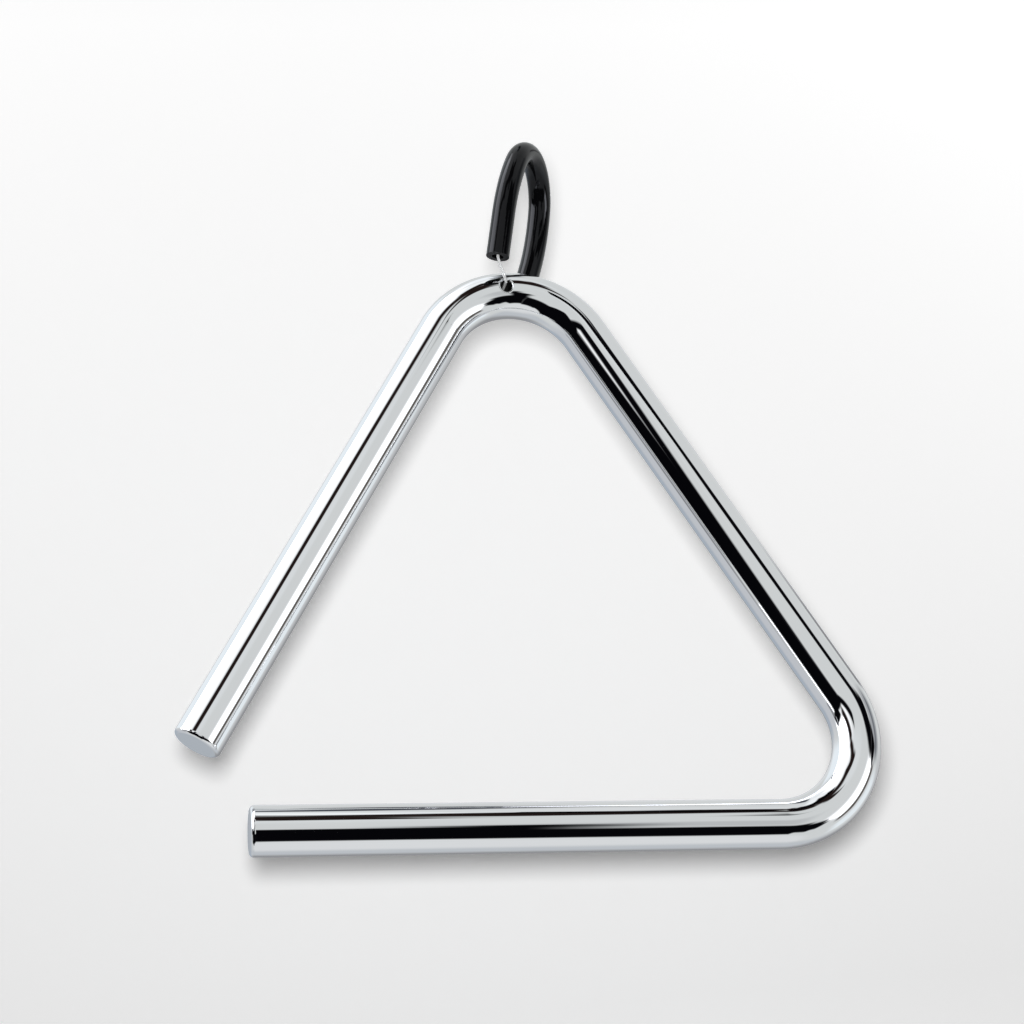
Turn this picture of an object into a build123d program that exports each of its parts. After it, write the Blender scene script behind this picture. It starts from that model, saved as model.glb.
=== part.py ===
"""A triangle instrument: a bent steel rod that hangs from a loop of nylon line in a plastic tube.

Sizes are in millimetres. Seen from the front, +X is to the right, +Y to the back and +Z up.
The origin is the inner top of the hanger loop, where a hook, a peg or a finger bears.
"""

import os
from math import atan2, cos, degrees, radians, sin

from build123d import *

# Rod
rod_diameter = 8.0
side_length = 126.0  # between corners of the straight centrelines
corner_angle = 60.0
bend_radius = 14.5  # of the centreline
end_setback = 16.0  # of each cut end from the open corner
end_chamfer = 0.5

# Hole in the top bend
hole_diameter = 2.0
hole_rim_radius = 0.4
hole_offset = 1.5  # round the bend, from its top toward the open corner

# Hanger tube, a loop with a round crown, slacker arcs below it and straight ends
tube_diameter = 4.0
tube_bore_diameter = 2.0
crown_radius = 8.2  # of the centreline
crown_half_angle = 72.0
leg_radius = 24.0  # of the centreline
leg_inward_angle = 9.3  # of each tube end, off the loop's middle line
tube_end_length = 8.0

# Place of the loop over the hole
mouth_height = 3.3  # of the tube ends over the hole, along the loop's middle line
loop_side_offset = 0.63  # of the loop's middle line, to the right of the hole
loop_lean_on_rod = 13.7  # to the right, off the rod's upright
loop_turn = 26.5  # of the loop's back leg to the right

# Nylon line
line_diameter = 0.5
line_clearance = 0.05  # between the line and the rod
mouth_bend_radius = 1.5  # of the line, where it leaves the tube
knot_diameter = 1.5
knot_length = 2.4
knot_chamfer = 0.4
tied_end_gap = 0.3  # between the ends of the line inside the knot

rod_radius = rod_diameter / 2
hole_radius = hole_diameter / 2
tube_radius = tube_diameter / 2
line_radius = line_diameter / 2
knot_radius = knot_diameter / 2

# Corners of the rod's centreline, in the rod's own plane with the hole as origin
half_corner = radians(corner_angle / 2)
hole_turn = hole_offset / bend_radius
open_leg_length = side_length - end_setback
top_x = bend_radius * sin(hole_turn)
top_y = bend_radius / sin(half_corner) - bend_radius * cos(hole_turn)
top_corner = (top_x, top_y)
left_end = (top_x - open_leg_length * sin(half_corner), top_y - open_leg_length * cos(half_corner))
right_corner = (top_x + side_length * sin(half_corner), top_y - side_length * cos(half_corner))
bar_end = (right_corner[0] - open_leg_length, right_corner[1])
rod_corners = [left_end, top_corner, right_corner, bar_end]

# The rod hangs with its balance point straight below the hole
with BuildLine() as flat_rod:
    FilletPolyline(*rod_corners, radius=bend_radius)
balance_point = flat_rod.wire().center(CenterOf.MASS)
rod_lean = degrees(atan2(balance_point.X, -balance_point.Y))

# The loop's middle line runs from the inner top of its crown down past the tube ends to the hole
loop_plane = Plane.YZ.rotated((0, loop_lean_on_rod + rod_lean, -loop_turn))
crown_centre = (0, tube_radius - crown_radius)
crown_start = 90 - crown_half_angle
leg_sweep = crown_start + leg_inward_angle
with BuildLine(loop_plane) as tube_route:
    crown = CenterArc(crown_centre, crown_radius, crown_start, 2 * crown_half_angle)
    front_leg = JernArc(crown @ 1, crown % 1, leg_radius, leg_sweep)
    front_end = Line(front_leg @ 1, front_leg @ 1 + (front_leg % 1) * tube_end_length)
    back_leg = JernArc(crown @ 0, (crown % 0) * -1, leg_radius, -leg_sweep)
    back_end = Line(back_leg @ 1, back_leg @ 1 + (back_leg % 1) * tube_end_length)
tube_end_middle = loop_plane.to_local_coords((front_end @ 1 + back_end @ 1) / 2)
loop_foot = loop_plane.from_local_coords((0, tube_end_middle.Y - mouth_height))
hole_centre = loop_foot - (loop_side_offset, 0, 0)
rod_plane = Plane(hole_centre, x_dir=(1, 0, 0), z_dir=(0, -1, 0)).rotated((0, rod_lean, 0))

with BuildPart() as triangle_rod:
    with BuildLine(rod_plane):
        rod_route = FilletPolyline(*rod_corners, radius=bend_radius)
    with BuildSketch(Plane(rod_route @ 0, z_dir=rod_route % 0)):
        Circle(rod_radius)
    sweep()
    chamfer(triangle_rod.faces().filter_by(GeomType.PLANE).edges(), end_chamfer)
    with BuildSketch(rod_plane):
        Circle(hole_radius)
    extrude(amount=rod_diameter, both=True, mode=Mode.SUBTRACT)
    hole_rims = triangle_rod.edges(Select.LAST).filter_by(GeomType.LINE, reverse=True)
    fillet(hole_rims, hole_rim_radius)
triangle_rod.part.label = "triangle_rod"

with BuildPart() as hanger_tube:
    with BuildSketch(Plane(front_end @ 1, z_dir=front_end % 1)):
        Circle(tube_radius)
        Circle(tube_bore_diameter / 2, mode=Mode.SUBTRACT)
    sweep(path=tube_route.wire())
hanger_tube.part.label = "hanger_tube"

# The line follows the tube, bears on the top of the hole and bends round both of its rims
rim_bend_radius = hole_rim_radius + line_clearance + line_radius
line_rise = hole_radius - line_clearance - line_radius
front_of_hole = hole_centre + (0, -rod_radius, line_rise)
back_of_hole = hole_centre + (0, rod_radius, line_rise)
knot_centre = back_end @ 0.5
half_gap = (back_end % 0) * (tied_end_gap / 2)

with BuildPart() as hanger_line:
    with BuildLine():
        tied_end = Line(knot_centre - half_gap, back_leg @ 1)
        add([crown, front_leg, back_leg])
        FilletPolyline(
            front_leg @ 1,
            front_end @ 1,
            front_of_hole,
            back_of_hole,
            back_end @ 1,
            knot_centre + half_gap,
            radius=[mouth_bend_radius, rim_bend_radius, rim_bend_radius, mouth_bend_radius],
        )
    with BuildSketch(Plane(tied_end @ 0, z_dir=tied_end % 0)):
        Circle(line_radius)
    sweep()
    with Locations(Plane(knot_centre, z_dir=back_end % 0)):
        Cylinder(knot_radius, knot_length)
    knot_edges = hanger_line.edges().filter_by(GeomType.CIRCLE)
    chamfer(knot_edges.filter_by(lambda edge: edge.radius > 2 * line_radius), knot_chamfer)
hanger_line.part.label = "hanger_line"

os.makedirs("parts", exist_ok=True)
export_step(triangle_rod.part, "parts/triangle_rod.step")
export_step(hanger_tube.part, "parts/hanger_tube.step")
export_step(hanger_line.part, "parts/hanger_line.step")
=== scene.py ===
"""Looks of the triangle instrument: chromed rod, black hanger tube and clear nylon line, in a pale studio.

Sizes of the rod and the route of the line are in millimetres, as on a drawing. Blender gets metres.
"""

from math import atan2, cos, pi, radians, sin, sqrt

import bmesh
import bpy
from mathutils import Matrix, Vector

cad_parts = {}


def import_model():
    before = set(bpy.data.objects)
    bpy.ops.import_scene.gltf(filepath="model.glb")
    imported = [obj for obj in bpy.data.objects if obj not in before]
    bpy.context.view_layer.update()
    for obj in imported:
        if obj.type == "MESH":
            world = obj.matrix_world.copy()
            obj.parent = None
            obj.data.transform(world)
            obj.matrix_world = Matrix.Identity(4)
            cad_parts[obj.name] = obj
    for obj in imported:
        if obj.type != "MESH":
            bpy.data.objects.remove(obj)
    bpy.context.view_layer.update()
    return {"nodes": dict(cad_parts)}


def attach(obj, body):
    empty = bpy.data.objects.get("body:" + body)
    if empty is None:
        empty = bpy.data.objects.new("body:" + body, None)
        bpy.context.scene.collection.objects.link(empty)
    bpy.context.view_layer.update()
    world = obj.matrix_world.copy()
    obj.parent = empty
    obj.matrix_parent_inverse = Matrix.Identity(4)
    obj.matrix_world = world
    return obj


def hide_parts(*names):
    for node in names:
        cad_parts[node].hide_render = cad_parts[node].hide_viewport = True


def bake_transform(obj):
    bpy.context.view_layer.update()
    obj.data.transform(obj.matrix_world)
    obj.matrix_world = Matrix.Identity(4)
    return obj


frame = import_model()
nodes = frame["nodes"]
MM = 0.001

# Rod in millimetres, in its own plane: the hole is the origin, x is to the right and y up
rod_radius = 4.0
bend_radius = 14.5
side_length = 126.0
open_leg_length = 110.0
end_rounding = 0.7
hole_radius = 1.0
rim_radius = 0.4
hole_offset = 1.5
hole_turn = hole_offset / bend_radius
rod_lean = radians(3.4627)
hole_centre = Vector((-8.3482, 0.0, -24.9911))

# Angles of the rod in degrees: outward from each straight part, and turned by each bend
left_outward = 150
right_outward = 30
bar_outward = -90
bend_angle = 120

# Corners and ends of the rod's middle line; the middle of a bend is two bend radii from its 60 degree corner
half_corner = radians(30)
top_corner = Vector((bend_radius * sin(hole_turn), bend_radius * (2 - cos(hole_turn))))
left_end = top_corner - open_leg_length * Vector((sin(half_corner), cos(half_corner)))
right_corner = top_corner + side_length * Vector((sin(half_corner), -cos(half_corner)))
bar_end = right_corner - Vector((open_leg_length, 0.0))
top_middle = top_corner - Vector((0.0, 2 * bend_radius))
right_middle = right_corner + 2 * bend_radius * Vector((-cos(half_corner), sin(half_corner)))

# Fineness of the rod's mesh, and the part of the top bend that is left open round the hole
round_steps = 96
bend_steps = 48
rounding_steps = 8
window_rings = range(18, 26)
window_reach = 9
window_rows = 4
rim_rounds = 6

# Route of the line in millimetres, with a point before and after each sharp turn
line_radius = 0.25
knot = (-2.16, 7.17, -19.12)
front_mouth = (-9.88, -6.59, -20.87)
back_mouth = (-3.60, 6.59, -22.81)
front_mouth_direction = (-0.220, 0.145, -0.965)
back_mouth_direction = (-0.360, -0.145, -0.922)
front_rim = (-8.35, -4.0, -24.29)
line_route = [
    knot,
    (1.38, 8.59, -10.06),
    (2.64, 6.24, -2.0),
    (1.73, 2.38, 1.56),
    (-0.55, -2.38, 2.26),
    (-3.31, -6.24, -0.16),
    (-6.81, -8.59, -7.54),
    (-9.62, -6.76, -19.71),
    front_mouth,
    (-9.48, -5.91, -21.77),
    (-8.60, -4.43, -23.73),
    front_rim,
    (-8.35, -3.25, -24.29),
    (-8.35, 3.25, -24.29),
    (-8.35, 4.0, -24.29),
    (-7.71, 4.35, -24.09),
    (-4.79, 5.94, -23.18),
    back_mouth,
    (-3.10, 6.79, -21.52),
    knot,
]

# Turns of the knot
coil_radius = 0.5
coil_length = 1.6
coil_steps = 36
coil_step_angle = 30

# Edges of the dull parts in millimetres: the bore's from the hole's axis, and those of the tube's cut ends
# along the tube from its end and out from the middle of its mouth
bore_edge = 1.02
plate_edge = 1.2
cut_start = -0.06
cut_full = -0.02
cut_reach = 2.15
cut_limit = 2.3

# Colours of the materials
chrome_deep = (0.815, 0.825, 0.845, 1)
chrome_pale = (0.845, 0.85, 0.86, 1)
# Colour of the bore: dull steel painted near-black, as the shade inside the hole
bore_painted_shade = (0.07, 0.065, 0.06, 1)
tube_black = (0.0025, 0.0025, 0.003, 1)
tube_dust = (0.03, 0.03, 0.031, 1)
tube_cut = (0.0035, 0.0035, 0.004, 1)
tube_shine = (0.93, 0.94, 1.0, 1)
nylon_milky = (0.90, 0.915, 0.92, 1)
nylon_pale = (0.96, 0.965, 0.97, 1)

# Finish of the materials; the depths of bumps are in metres
chrome_roughness = 0.012
bore_roughness = 0.42
cut_roughness = 0.55
tube_ior = 1.3
nylon_ior = 1.53
nylon_clearness = 0.35
chrome_wave_depth = 0.0000025
tube_peel_depth = 0.000006
tube_wave_depth = 0.000014
nylon_streak_depth = 0.000002


# Node helpers

def new_material(name):
    """A material with an empty node tree, and its output."""
    material = bpy.data.materials.new(name)
    material.use_nodes = True
    tree = material.node_tree
    tree.nodes.clear()
    return material, tree, tree.nodes.new("ShaderNodeOutputMaterial")


def put(tree, socket, value):
    """Links or sets one input."""
    if isinstance(value, bpy.types.NodeSocket):
        tree.links.new(value, socket)
    else:
        socket.default_value = value


def math(tree, operation, *values):
    node = tree.nodes.new("ShaderNodeMath")
    node.operation = operation
    for socket, value in zip(node.inputs, values):
        put(tree, socket, value)
    return node.outputs[0]


def vector_math(tree, operation, *values):
    node = tree.nodes.new("ShaderNodeVectorMath")
    node.operation = operation
    for socket, value in zip(node.inputs, values):
        put(tree, socket, value)
    return node.outputs["Value" if operation in ("DOT_PRODUCT", "LENGTH") else "Vector"]


def mix(tree, kind, share, first, second):
    node = tree.nodes.new("ShaderNodeMix")
    node.data_type = kind
    put(tree, node.inputs["Factor"], share)
    put(tree, node.inputs["A"], first)
    put(tree, node.inputs["B"], second)
    return node.outputs["Result"]


def mix_colour(tree, share, first, second):
    return mix(tree, "RGBA", share, first, second)


def mix_number(tree, share, first, second):
    return mix(tree, "FLOAT", share, first, second)


def map_range(tree, value, low, high, new_low, new_high, smooth=True):
    node = tree.nodes.new("ShaderNodeMapRange")
    node.interpolation_type = "SMOOTHSTEP" if smooth else "LINEAR"
    for socket, item in zip(node.inputs, (value, low, high, new_low, new_high)):
        put(tree, socket, item)
    return node.outputs[0]


def place_from(tree, point):
    """Place on the object, measured from a point in millimetres."""
    place = tree.nodes.new("ShaderNodeTexCoord").outputs["Object"]
    return vector_math(tree, "SUBTRACT", place, Vector(point) * MM)


def noise(tree, scale, detail=4.0, stretch=(1.0, 1.0, 1.0), distortion=0.0):
    """Noise in the object's own place, from 0 to 1; scale is in waves per metre."""
    place = tree.nodes.new("ShaderNodeTexCoord").outputs["Object"]
    mapping = tree.nodes.new("ShaderNodeMapping")
    mapping.inputs["Scale"].default_value = stretch
    tree.links.new(place, mapping.inputs["Vector"])
    node = tree.nodes.new("ShaderNodeTexNoise")
    tree.links.new(mapping.outputs[0], node.inputs["Vector"])
    node.inputs["Scale"].default_value = scale
    node.inputs["Detail"].default_value = detail
    node.inputs["Distortion"].default_value = distortion
    return node.outputs[0]


def bump(tree, height, distance, normal=None):
    node = tree.nodes.new("ShaderNodeBump")
    node.inputs["Distance"].default_value = distance
    tree.links.new(height, node.inputs["Height"])
    if normal is not None:
        tree.links.new(normal, node.inputs["Normal"])
    return node.outputs[0]


def principled(tree, output):
    shader = tree.nodes.new("ShaderNodeBsdfPrincipled")
    tree.links.new(shader.outputs[0], output.inputs["Surface"])
    return shader


# Materials

def chrome_material():
    """Bright chrome plate with faint smears and hairline marks, and dull steel inside the hole, painted
    near-black as its shade.
    """
    material, tree, output = new_material("chrome_plate")
    shader = principled(tree, output)
    shader.inputs["Metallic"].default_value = 1.0
    from_axis = vector_math(tree, "MULTIPLY", place_from(tree, hole_centre), (1.0, 0.0, 1.0))
    from_axis_length = vector_math(tree, "LENGTH", from_axis)
    in_hole = map_range(tree, from_axis_length, bore_edge * MM, plate_edge * MM, 1.0, 0.0)
    smears = noise(tree, 45.0, 5.0, distortion=0.6)
    plate = mix_colour(tree, smears, chrome_deep, chrome_pale)
    # Inside the hole the colour is painted shade, near-black
    tree.links.new(mix_colour(tree, in_hole, plate, bore_painted_shade), shader.inputs["Base Color"])
    hairlines = noise(tree, 900.0, 2.0, stretch=(0.06, 1.0, 1.0))
    dulled = map_range(tree, smears, 0.55, 0.75, 0.0, 0.025)
    marked = map_range(tree, hairlines, 0.66, 0.72, 0.0, 0.03)
    rough = math(tree, "ADD", math(tree, "ADD", dulled, marked), chrome_roughness)
    tree.links.new(mix_number(tree, in_hole, rough, bore_roughness), shader.inputs["Roughness"])
    waves = noise(tree, 160.0, 2.0)
    tree.links.new(bump(tree, waves, chrome_wave_depth), shader.inputs["Normal"])
    return material


def cut_end(tree, mouth, direction):
    """1 on the cut end of the tube at one mouth, and 0 on the rest of it."""
    from_mouth = place_from(tree, mouth)
    along = vector_math(tree, "DOT_PRODUCT", from_mouth, direction)
    beyond = map_range(tree, along, cut_start * MM, cut_full * MM, 0.0, 1.0)
    distance = vector_math(tree, "LENGTH", from_mouth)
    near = map_range(tree, distance, cut_reach * MM, cut_limit * MM, 1.0, 0.0)
    return math(tree, "MULTIPLY", beyond, near)


def tube_material():
    """Black gloss PVC: a faint orange peel, rubbed patches, a little dust and dull knife-cut ends."""
    material, tree, output = new_material("black_tube")
    shader = principled(tree, output)
    front_cut = cut_end(tree, front_mouth, front_mouth_direction)
    back_cut = cut_end(tree, back_mouth, back_mouth_direction)
    cut = math(tree, "MAXIMUM", front_cut, back_cut)
    dust = map_range(tree, noise(tree, 5200.0, 3.0), 0.68, 0.76, 0.0, 0.3)
    colour = mix_colour(tree, dust, tube_black, tube_dust)
    tree.links.new(mix_colour(tree, cut, colour, tube_cut), shader.inputs["Base Color"])
    rubbed = map_range(tree, noise(tree, 260.0, 5.0, distortion=1.0), 0.45, 0.75, 0.05, 0.13)
    tree.links.new(mix_number(tree, cut, rubbed, cut_roughness), shader.inputs["Roughness"])
    shader.inputs["IOR"].default_value = tube_ior
    shader.inputs["Specular Tint"].default_value = tube_shine
    peel = bump(tree, noise(tree, 1500.0, 3.0), tube_peel_depth)
    tree.links.new(bump(tree, noise(tree, 420.0, 2.0), tube_wave_depth, peel), shader.inputs["Normal"])
    return material


def line_material():
    """Clear nylon, a little milky, with drawn streaks."""
    material, tree, output = new_material("clear_line")
    shader = principled(tree, output)
    streaks = noise(tree, 2600.0, 3.0)
    milky = mix_colour(tree, streaks, nylon_milky, nylon_pale)
    tree.links.new(milky, shader.inputs["Base Color"])
    tree.links.new(map_range(tree, streaks, 0.3, 0.7, 0.08, 0.16), shader.inputs["Roughness"])
    shader.inputs["IOR"].default_value = nylon_ior
    shader.inputs["Transmission Weight"].default_value = nylon_clearness
    tree.links.new(bump(tree, streaks, nylon_streak_depth), shader.inputs["Normal"])
    return material


# The rod: rings along its bent middle line, with a patch of its own round each rim of the hole

def unit(angle):
    return Vector((cos(angle), sin(angle)))


def rod_stations():
    """Middle, outward angle, radius and lean of the surface for each ring.

    The rings go from the left end to the bar's end.
    """
    stations = []
    for step in range(rounding_steps + 1):
        turn = radians(90 * step / rounding_steps)
        middle = left_end + end_rounding * (1 - cos(turn)) * unit(radians(left_outward - 90))
        radius = rod_radius - end_rounding * (1 - sin(turn))
        stations.append((middle, radians(left_outward), radius, turn - pi / 2))
    for middle, first_angle in ((top_middle, left_outward), (right_middle, right_outward)):
        for step in range(bend_steps + 1):
            angle = radians(first_angle - bend_angle * step / bend_steps)
            stations.append((middle + bend_radius * unit(angle), angle, rod_radius, 0.0))
    for step in range(rounding_steps + 1):
        turn = radians(90 * step / rounding_steps)
        middle = bar_end + end_rounding * (1 - sin(turn)) * unit(0.0)
        radius = rod_radius - end_rounding * (1 - cos(turn))
        stations.append((middle, radians(bar_outward), radius, turn))
    return stations


def bend_surface(x, y, side):
    """Point and normal of the top bend over a place in the rod's plane; side is 1 in front and -1 behind."""
    from_middle = Vector((x, y)) - top_middle
    offset = from_middle.length - bend_radius
    height = side * sqrt(rod_radius ** 2 - offset ** 2)
    across = from_middle.normalized() * offset
    return Vector((x, y, height)), Vector((across.x, across.y, height)) / rod_radius


def rim_start(angle):
    """Distance from the hole's axis at which the rounding of its rim begins.

    It depends on the surface there, so each round starts from the one before.
    """
    reach = hole_radius + rim_radius
    for attempt in range(rim_rounds):
        normal = bend_surface(reach * cos(angle), reach * sin(angle), 1)[1]
        reach = hole_radius + rim_radius * (1 + normal.x * cos(angle) + normal.y * sin(angle))
    return reach


class RodShape:
    """Points, normals and faces of the rod, in its own plane."""

    def __init__(self):
        self.points = []
        self.normals = []
        self.faces = []

    def add(self, point, normal):
        self.points.append(point)
        self.normals.append(normal)
        return len(self.points) - 1

    def add_ring(self, middle, angle, radius, lean):
        outward = unit(angle).to_3d()
        along = unit(angle - pi / 2).to_3d()
        ring = []
        for step in range(round_steps):
            turn = 2 * pi * step / round_steps
            radial = cos(turn) * outward + sin(turn) * Vector((0.0, 0.0, 1.0))
            normal = cos(lean) * radial + sin(lean) * along
            ring.append(self.add(middle.to_3d() + radius * radial, normal))
        return ring

    def join(self, first, second, skipped=()):
        for step in range(len(first)):
            after = (step + 1) % len(first)
            if step not in skipped:
                self.faces.append((first[step], first[after], second[after], second[step]))

    def cap(self, ring, middle, along):
        tip = self.add(middle.to_3d(), along.to_3d())
        for step in range(len(ring)):
            self.faces.append((ring[step], ring[(step + 1) % len(ring)], tip))

    def add_rim(self, border, side):
        """Surface from the border of the window to the bore, and its last row."""
        headings = [atan2(self.points[index].y, self.points[index].x) for index in border]
        row = border
        for step in range(1, window_rows + 1):
            share = step / window_rows
            next_row = []
            for index, heading in zip(border, headings):
                start = self.points[index].to_2d()
                place = start.lerp(rim_start(heading) * unit(heading), share)
                next_row.append(self.add(*bend_surface(place.x, place.y, side)))
            self.join(row, next_row)
            row = next_row
        for step in range(1, rounding_steps + 1):
            next_row = []
            for heading in headings:
                place = rim_start(heading) * unit(heading)
                point, normal = bend_surface(place.x, place.y, side)
                turned = normal.slerp(-unit(heading).to_3d(), step / rounding_steps)
                next_row.append(self.add(point + rim_radius * (turned - normal), turned))
            self.join(row, next_row)
            row = next_row
        return row


def chrome_rod():
    shape = RodShape()
    stations = rod_stations()
    rings = [shape.add_ring(*station) for station in stations]
    bend_start = rounding_steps + 1
    open_rings = [bend_start + ring for ring in window_rings]
    middles = {1: round_steps // 4, -1: 3 * round_steps // 4}
    open_steps = []
    for middle in middles.values():
        open_steps.extend(range(middle - window_reach, middle + window_reach))
    for index, (first, second) in enumerate(zip(rings, rings[1:])):
        shape.join(first, second, open_steps if index in open_rings[:-1] else ())
    shape.cap(rings[0], left_end, -unit(radians(left_outward - 90)))
    shape.cap(rings[-1], bar_end, -unit(0.0))
    bore_rows = []
    for side, middle in middles.items():
        edges = (middle - window_reach, middle + window_reach)
        border = []
        for index in open_rings:
            ends = index in (open_rings[0], open_rings[-1])
            steps = range(edges[0], edges[1] + 1) if ends else edges
            border.extend(rings[index][step] for step in steps)
        border.sort(key=lambda index: atan2(shape.points[index].y, shape.points[index].x))
        bore_rows.append(shape.add_rim(border, side))
    shape.join(*bore_rows)

    mesh = bpy.data.meshes.new("triangle_rod_visual")
    mesh.from_pydata(shape.points, [], shape.faces)
    work = bmesh.new()
    work.from_mesh(mesh)
    bmesh.ops.recalc_face_normals(work, faces=work.faces)
    work.to_mesh(mesh)
    work.free()
    for polygon in mesh.polygons:
        polygon.use_smooth = True
    hang = Matrix.Rotation(rod_lean, 3, "Y") @ Matrix.Rotation(radians(90), 3, "X")
    mesh.transform(Matrix.Translation(hole_centre * MM) @ Matrix.Scale(MM, 4) @ hang.to_4x4())
    mesh.normals_split_custom_set_from_vertices([hang @ normal for normal in shape.normals])
    piece = bpy.data.objects.new("triangle_rod_visual", mesh)
    bpy.context.collection.objects.link(piece)
    return piece


# The line follows the tube, turns at its mouths and goes through the hole

def add_spline(curve, points):
    spline = curve.splines.new("NURBS")
    spline.points.add(len(points) - 1)
    for target, point in zip(spline.points, points):
        target.co = (*(Vector(point) * MM), 1.0)
    spline.order_u = 3
    spline.use_endpoint_u = True
    spline.resolution_u = 10


def nylon_line():
    """The line with the turns of its knot, as one mesh."""
    curve = bpy.data.curves.new("hanger_line_visual", "CURVE")
    curve.dimensions = "3D"
    curve.bevel_depth = line_radius * MM
    curve.bevel_resolution = 5
    curve.use_fill_caps = True
    add_spline(curve, line_route)
    along = (Vector(line_route[1]) - Vector(knot)).normalized()
    side = along.orthogonal().normalized()
    coil = []
    for step in range(coil_steps + 1):
        turn = Matrix.Rotation(radians(coil_step_angle * step), 3, along)
        height = (step / coil_steps - 0.5) * coil_length
        coil.append(Vector(knot) + turn @ side * coil_radius + along * height)
    add_spline(curve, coil)
    drawn = bpy.data.objects.new("hanger_line_curve", curve)
    bpy.context.collection.objects.link(drawn)
    bpy.context.view_layer.update()
    mesh = bpy.data.meshes.new_from_object(drawn.evaluated_get(bpy.context.evaluated_depsgraph_get()))
    bpy.data.objects.remove(drawn)
    for polygon in mesh.polygons:
        polygon.use_smooth = True
    piece = bpy.data.objects.new("hanger_line_visual", mesh)
    bpy.context.collection.objects.link(piece)
    return piece


nodes["hanger_tube"].data.materials.clear()
nodes["hanger_tube"].data.materials.append(tube_material())

rod = chrome_rod()
rod.data.materials.append(chrome_material())
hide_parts("triangle_rod")
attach(rod, "rod")

line = nylon_line()
line.data.materials.append(line_material())
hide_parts("hanger_line")
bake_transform(line)


# Studio

pale_room = (0.92, 0.92, 0.92)
soft_light = (0.20, 0.20, 0.20)
paper_colour = (0.95, 0.95, 0.95)

# Wall behind the triangle, in metres; its glow rises from bottom to top, and toward both sides
wall_size = 2.4
wall_place = (0, 0.07, -0.06)
glow_bottom = -0.135
glow_top = 0.08
bottom_glow = 0.035
top_glow = 0.5
glow_middle = -0.006
side_glow = 4.6

# Black card near the triangle, in millimetres and degrees
card_place = Vector((53, -106, 10))
card_aim = Vector((51, 0, -72))
card_turn = 21
card_width = 66
card_height = 23.6

# Lamp and camera, in metres, watts and degrees
lamp_place = Vector((-0.0966, -0.3451, -0.1949))
lamp_aim = Vector((0.234, 0.0, -0.186))
lamp_size = 0.03
lamp_power = 1.30
camera_place = (-0.09333, -0.34030, -0.20825)
camera_heading = -13.476
camera_pitch = 22.1862
camera_roll = -7.657
camera_lens = 80
camera_sensor = 36

# What the chrome mirrors: soft-edged boxes all round, each painted over those before it.
# Azimuth is 0 in front and positive to the right, elevation is positive upward, all in degrees:
# azimuth, elevation, half width, half height, turn, softness, colour
white = (1.25, 1.26, 1.27)
black = (0.002, 0.002, 0.003)
umber = (0.016, 0.010, 0.009)
room = (0.72, 0.74, 0.735)
floor_and_zenith = [
    (0, -90, 200, 26, 0, 6, (0.80, 0.815, 0.82)),
    (0, 90, 200, 12, 0, 6, (1.02, 1.06, 1.09)),
]
far_walls = [
    (180, -45, 50, 20, 0, 14, (0.58, 0.61, 0.64)),
    (-128, -8, 26, 22, 0, 12, (0.60, 0.62, 0.65)),
    (180, 34, 40, 14, 0, 9, (0.78, 0.80, 0.815)),
    (120, -2, 16, 10, 0, 8, (0.60, 0.61, 0.62)),
    (165, -5, 30, 27, 0, 14, (0.31, 0.315, 0.325)),
    (-160, 4, 18, 16, 0, 10, (0.43, 0.485, 0.55)),
    (125, 28.8, 14, 2.4, -13, 1.6, (0.26, 0.26, 0.27)),
]
softboxes = [
    (-126, 49, 34, 20, 0, 8, (0.93, 1.0, 1.04)),
    (-66, 46, 36, 48, 0, 10, white),
    (-79, 42, 24, 34, 0, 5, (4.6, 4.65, 4.9)),
    (-22, 62, 18, 14, 0, 5, white),
    (10, 64, 18, 12, 0, 5, (1.02, 1.05, 1.06)),
    (38, 62, 14, 12, 0, 6, (0.78, 0.80, 0.805)),
    (87, 77, 52, 3.8, 0, 2.2, (0.06, 0.065, 0.08)),
    (-10, 27, 20, 9, 0, 6, (0.79, 0.815, 0.82)),
]
dark_arch = [
    (-46.5, 12.5, 6.8, 15, -26, 3, umber),
    (-28.5, 31.8, 15.5, 4.6, 17, 2.5, umber),
    (-15, 34.5, 5.5, 6.5, -10, 2, umber),
    (-12.5, 42.5, 13, 5.5, 9, 2.5, umber),
    (5, 53.5, 8.5, 6, 36, 2, umber),
    (7, 44, 9, 6, 0, 2.5, umber),
    (10.3, 35.5, 3.4, 6, 0, 1.6, umber),
    (21.5, 45.2, 7.6, 8.7, 10, 2, umber),
    (30.5, 50, 4.5, 3.5, 30, 2, umber),
]
right_panel = [
    (54.5, -14, 12.6, 20, -6, 3.5, white),
    (56, -14, 8, 16, -6, 3, (6.0, 6.1, 6.4)),
    (102, -24, 14, 19, 0, 6, (0.91, 0.97, 1.0)),
    (75, -14, 4.6, 13, -4, 2.5, (0.09, 0.075, 0.065)),
    (73, -30, 4.5, 8, -20, 3, (0.09, 0.075, 0.065)),
]
right_card = [
    (86, 15, 13, 13, 0, 6, (0.36, 0.375, 0.39)),
    (83.5, 15, 5, 13, 0, 4.5, (0.17, 0.18, 0.20)),
    (70, 17, 5, 11, 0, 4, (0.42, 0.43, 0.45)),
    (30, 25, 8.2, 7.5, -25, 1.5, black),
    (46, 16, 13, 6.5, -26, 1.6, black),
    (53, 18.5, 7, 6.5, 0, 2, black),
    (65.5, 7, 9, 6.5, -35, 2, black),
]
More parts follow.
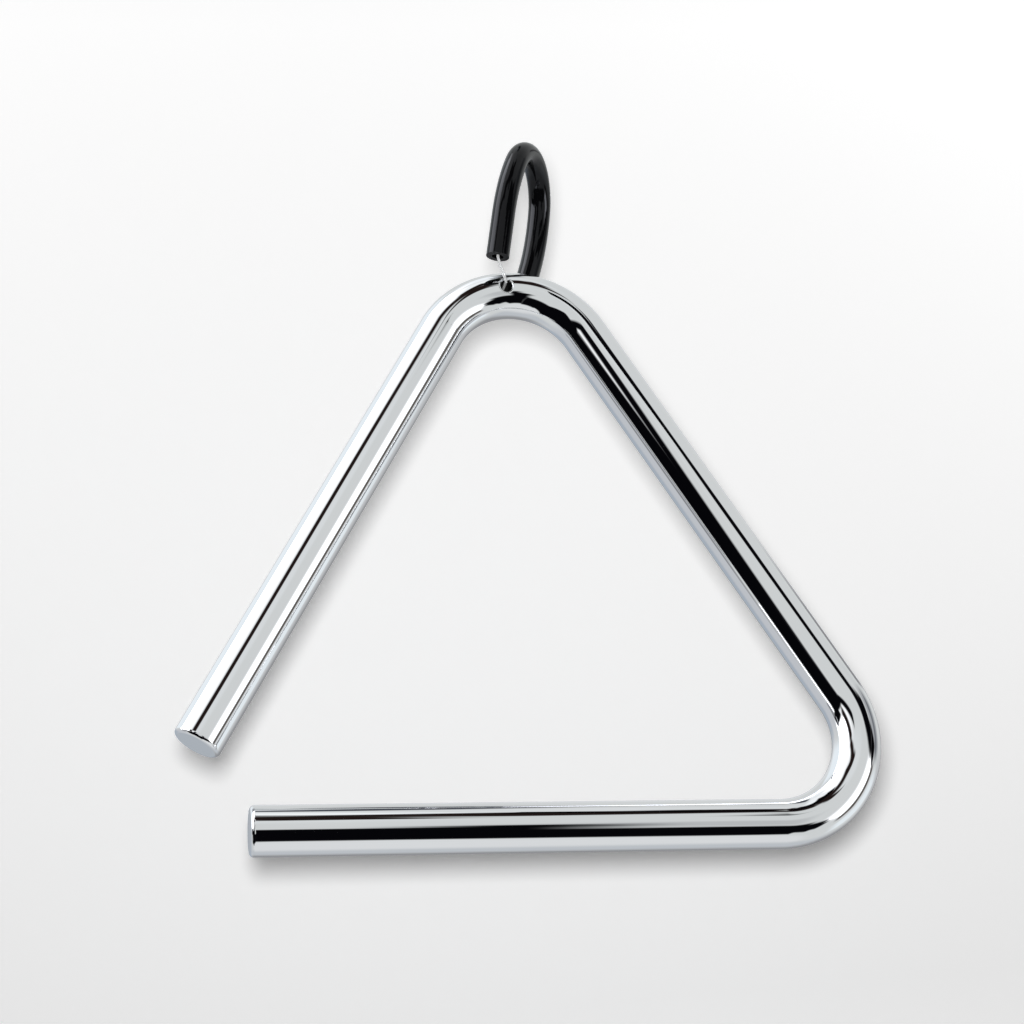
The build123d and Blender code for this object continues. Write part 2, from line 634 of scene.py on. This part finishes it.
black_cloth = [
    (17, -10, 7, 10, 0, 5, (0.56, 0.575, 0.58)),
    (-53.5, -36, 32, 27.5, 0, 1.5, black),
    (-88, -32, 7, 8, 0, 2.5, black),
    (-84, 0.7, 19, 7.5, -18, 2, black),
    (-60, -7, 25, 4, 0, 1.5, black),
    (-26.8, 3.2, 15, 4.8, 45, 1.8, black),
    (-19, -46.3, 21, 19.8, 0, 3, black),
    (16, -43, 16, 19.5, 0, 3, black),
    (36, -41, 11, 12.5, 0, 3, black),
    (46, -41, 6.5, 7, 0, 3, black),
    (7.2, -25, 5.9, 15, 0, 2.2, black),
    (11, -9, 2.6, 5, 0, 2.2, black),
    (-100, -9, 5, 9, 0, 3, (0.26, 0.265, 0.28)),
]
studio_boxes = floor_and_zenith + far_walls + softboxes + dark_arch + right_panel + right_card + black_cloth


def soft_box_group():
    """One soft-edged box as a node group; its mask is 1 inside the box and 0 outside it."""
    group = bpy.data.node_groups.new("soft_box", "ShaderNodeTree")
    for name in ("azimuth", "elevation", "middle azimuth", "middle elevation",
                 "half width", "half height", "turn", "softness"):
        group.interface.new_socket(name, in_out="INPUT", socket_type="NodeSocketFloat")
    group.interface.new_socket("mask", in_out="OUTPUT", socket_type="NodeSocketFloat")
    given = group.nodes.new("NodeGroupInput").outputs
    offset = math(group, "SUBTRACT", given["azimuth"], given["middle azimuth"])
    across = math(group, "WRAP", offset, 180.0, -180.0)
    upward = math(group, "SUBTRACT", given["elevation"], given["middle elevation"])
    turn = math(group, "RADIANS", given["turn"])
    cosine = math(group, "COSINE", turn)
    sine = math(group, "SINE", turn)
    wide = math(group, "MULTIPLY", across, cosine)
    along_width = math(group, "ADD", wide, math(group, "MULTIPLY", upward, sine))
    high = math(group, "MULTIPLY", upward, cosine)
    along_height = math(group, "SUBTRACT", high, math(group, "MULTIPLY", across, sine))
    masks = []
    for distance, half in ((along_width, "half width"), (along_height, "half height")):
        inner = math(group, "SUBTRACT", given[half], given["softness"])
        outer = math(group, "ADD", given[half], given["softness"])
        masks.append(map_range(group, math(group, "ABSOLUTE", distance), inner, outer, 1.0, 0.0))
    leave = group.nodes.new("NodeGroupOutput")
    group.links.new(math(group, "MULTIPLY", *masks), leave.inputs["mask"])
    return group


def studio_colour(tree):
    """Colour of the studio in the direction of a ray."""
    direction = tree.nodes.new("ShaderNodeSeparateXYZ")
    tree.links.new(tree.nodes.new("ShaderNodeTexCoord").outputs["Generated"], direction.inputs[0])
    toward_front = math(tree, "MULTIPLY", direction.outputs["Y"], -1.0)
    azimuth = math(tree, "DEGREES", math(tree, "ARCTAN2", direction.outputs["X"], toward_front))
    elevation = math(tree, "DEGREES", math(tree, "ARCSINE", direction.outputs["Z"]))
    group = soft_box_group()
    colour = (*room, 1.0)
    for *sizes, tint in studio_boxes:
        box = tree.nodes.new("ShaderNodeGroup")
        box.node_tree = group
        for socket, value in zip(box.inputs, (azimuth, elevation, *sizes)):
            put(tree, socket, value)
        colour = mix_colour(tree, box.outputs["mask"], colour, (*tint, 1.0))
    return colour


def seen_rays(tree):
    """1 for rays that the eye sees, straight or through clear pieces, and Light Path's other outputs."""
    path = tree.nodes.new("ShaderNodeLightPath").outputs
    return math(tree, "MAXIMUM", path["Is Camera Ray"], path["Is Transmission Ray"]), path


def world():
    """Mirrors see the studio, the eye sees a pale plain room, and all else gets plain soft light."""
    studio = bpy.data.worlds.new("studio")
    studio.use_nodes = True
    studio.cycles.sampling_method = "NONE"
    tree = studio.node_tree
    seen, path = seen_rays(tree)
    plain = tree.nodes["Background"]
    tree.links.new(mix_colour(tree, seen, (*soft_light, 1.0), (*pale_room, 1.0)), plain.inputs["Color"])
    mirrored = tree.nodes.new("ShaderNodeBackground")
    tree.links.new(studio_colour(tree), mirrored.inputs["Color"])
    choice = tree.nodes.new("ShaderNodeMixShader")
    tree.links.new(path["Is Glossy Ray"], choice.inputs[0])
    tree.links.new(plain.outputs[0], choice.inputs[1])
    tree.links.new(mirrored.outputs[0], choice.inputs[2])
    tree.links.new(choice.outputs[0], tree.nodes["World Output"].inputs["Surface"])
    bpy.context.scene.world = studio


def backdrop():
    """A pale wall behind the triangle, brighter toward its top and sides, and seen from its front only."""
    bpy.ops.mesh.primitive_plane_add(size=wall_size, location=wall_place, rotation=(radians(90), 0, 0))
    wall = bpy.context.object
    wall.name = "backdrop"
    wall.visible_glossy = False
    material, tree, output = new_material("backdrop_paper")
    geometry = tree.nodes.new("ShaderNodeNewGeometry").outputs
    place = tree.nodes.new("ShaderNodeSeparateXYZ")
    tree.links.new(geometry["Position"], place.inputs[0])
    paint = tree.nodes.new("ShaderNodeBsdfDiffuse")
    paint.inputs["Color"].default_value = (*paper_colour, 1.0)
    height = place.outputs["Z"]
    upper = map_range(tree, height, glow_bottom, glow_top, bottom_glow, top_glow, smooth=False)
    from_middle = math(tree, "SUBTRACT", place.outputs["X"], glow_middle)
    sides = math(tree, "MULTIPLY", math(tree, "MULTIPLY", from_middle, from_middle), side_glow)
    brighter = math(tree, "ADD", upper, sides)
    glow = tree.nodes.new("ShaderNodeEmission")
    tree.links.new(math(tree, "MULTIPLY", brighter, seen_rays(tree)[0]), glow.inputs["Strength"])
    front = tree.nodes.new("ShaderNodeAddShader")
    tree.links.new(paint.outputs[0], front.inputs[0])
    tree.links.new(glow.outputs[0], front.inputs[1])
    clear = tree.nodes.new("ShaderNodeBsdfTransparent")
    facing = tree.nodes.new("ShaderNodeMixShader")
    tree.links.new(geometry["Backfacing"], facing.inputs[0])
    tree.links.new(front.outputs[0], facing.inputs[1])
    tree.links.new(clear.outputs[0], facing.inputs[2])
    tree.links.new(facing.outputs[0], output.inputs["Surface"])
    wall.data.materials.append(material)


def black_card():
    """A black card near the triangle, turned to its aim, that only mirrors see."""
    mesh = bpy.data.meshes.new("upper_card")
    signs = ((-1, -1), (1, -1), (1, 1), (-1, 1))
    corners = [(x * card_width / 2 * MM, y * card_height / 2 * MM, 0.0) for x, y in signs]
    mesh.from_pydata(corners, [], [(0, 1, 2, 3)])
    material, tree, output = new_material("upper_card")
    paint = tree.nodes.new("ShaderNodeEmission")
    paint.inputs["Color"].default_value = (*black, 1.0)
    tree.links.new(paint.outputs[0], output.inputs["Surface"])
    mesh.materials.append(material)
    card = bpy.data.objects.new("upper_card", mesh)
    facing = (card_aim - card_place).to_track_quat("Z", "Y").to_matrix().to_4x4()
    turned = facing @ Matrix.Rotation(radians(card_turn), 4, "Z")
    card.matrix_world = Matrix.Translation(card_place * MM) @ turned
    card.visible_camera = False
    card.visible_diffuse = False
    card.visible_transmission = False
    card.visible_shadow = False
    bpy.context.collection.objects.link(card)


def key_lamp():
    """A small round lamp beside the camera that mirrors don't see."""
    data = bpy.data.lights.new("key", "AREA")
    data.shape = "DISK"
    data.size = lamp_size
    data.energy = lamp_power
    lamp = bpy.data.objects.new("key", data)
    lamp.location = lamp_place
    lamp.rotation_euler = (lamp_aim - lamp_place).to_track_quat("-Z", "Y").to_euler()
    lamp.visible_glossy = False
    lamp.visible_camera = False
    bpy.context.collection.objects.link(lamp)


def camera():
    """The photo's camera, which looks up and to the right."""
    data = bpy.data.cameras.new("photo_camera")
    data.lens = camera_lens
    data.sensor_width = camera_sensor
    eye = bpy.data.objects.new("photo_camera", data)
    heading = Matrix.Rotation(radians(camera_heading), 4, "Z")
    pitch = Matrix.Rotation(radians(90 + camera_pitch), 4, "X")
    roll = Matrix.Rotation(radians(camera_roll), 4, "Z")
    eye.matrix_world = Matrix.Translation(camera_place) @ heading @ pitch @ roll
    bpy.context.collection.objects.link(eye)
    bpy.context.scene.camera = eye


backdrop()
world()
black_card()
key_lamp()
camera()
bpy.context.scene.view_settings.view_transform = "Standard"
